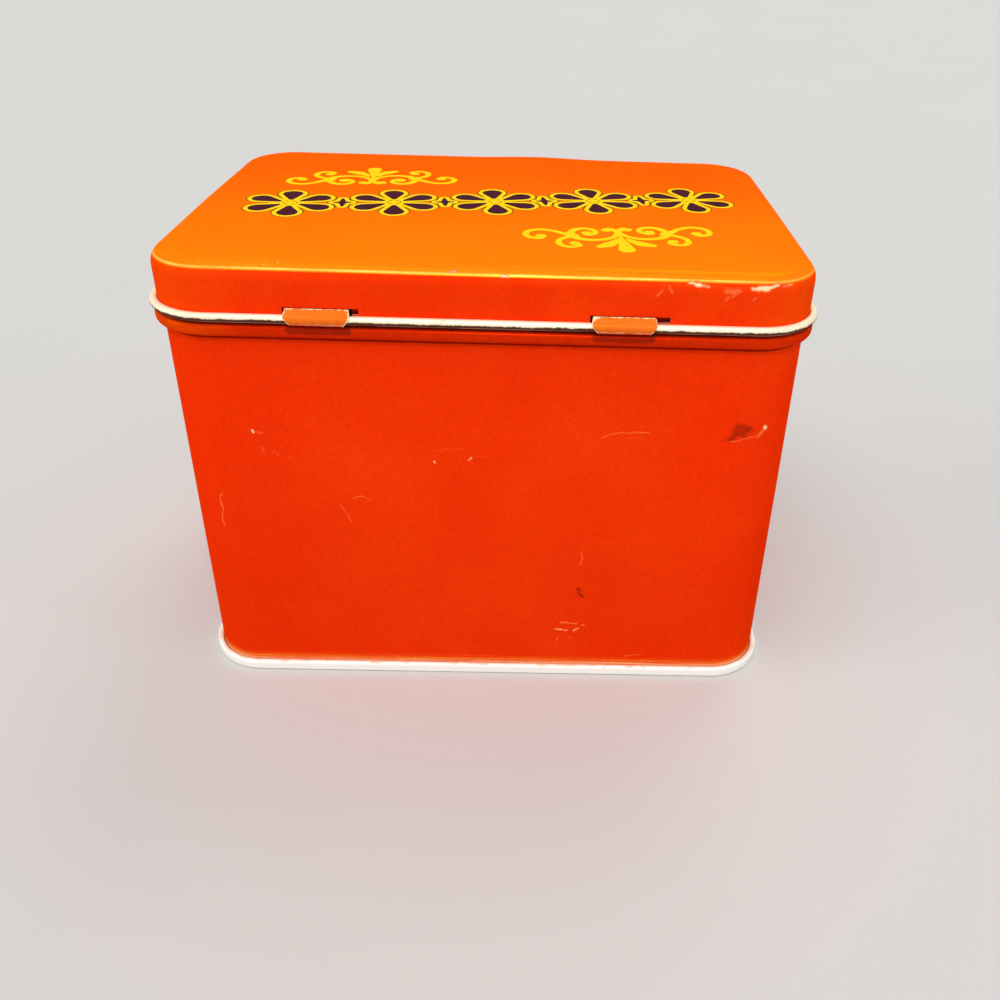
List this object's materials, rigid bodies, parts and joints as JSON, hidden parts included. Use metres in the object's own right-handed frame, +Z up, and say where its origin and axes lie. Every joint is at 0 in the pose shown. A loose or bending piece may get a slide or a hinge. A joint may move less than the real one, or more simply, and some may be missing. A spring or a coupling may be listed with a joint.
{
  "type": "recipe card box",
  "caption": "Rounded rectangular tinplate box with a slip-over lid that swings on its rolled back edge in hinge hooks lanced from the body, for filing index cards.",
  "frame": {"origin": "middle of the foot, on the surface that the box stands on", "axes": "+Z up; +X along the long side; -Y is the front that opens and +Y the hinge side"},
  "size_m": [0.136, 0.0964, 0.101],
  "materials": {
    "body_print": "gloss orange-red lacquer outside, bare tin inside",
    "lid_print": "gloss orange-red lacquer outside, bare tin inside",
    "base_enamel": "semi-gloss white enamel",
    "bare_tin": "lacquered tinplate with a warm tone"
  },
  "bodies": {
    "box": {"body_wall": "body_print", "base_panel": "base_enamel", "hinge_tab_left": "body_print", "hinge_tab_right": "body_print"},
    "lid": {"lid_shell": "lid_print", "lid_rim_curl": "bare_tin"}
  },
  "joints": [
    {"name": "lid_hinge", "type": "hinge", "parent": "box", "child": "lid", "pos_m": [0, 0.04712, 0.09015], "axis": [-1, 0, 0], "range_deg": [0, 180]}
  ]
}
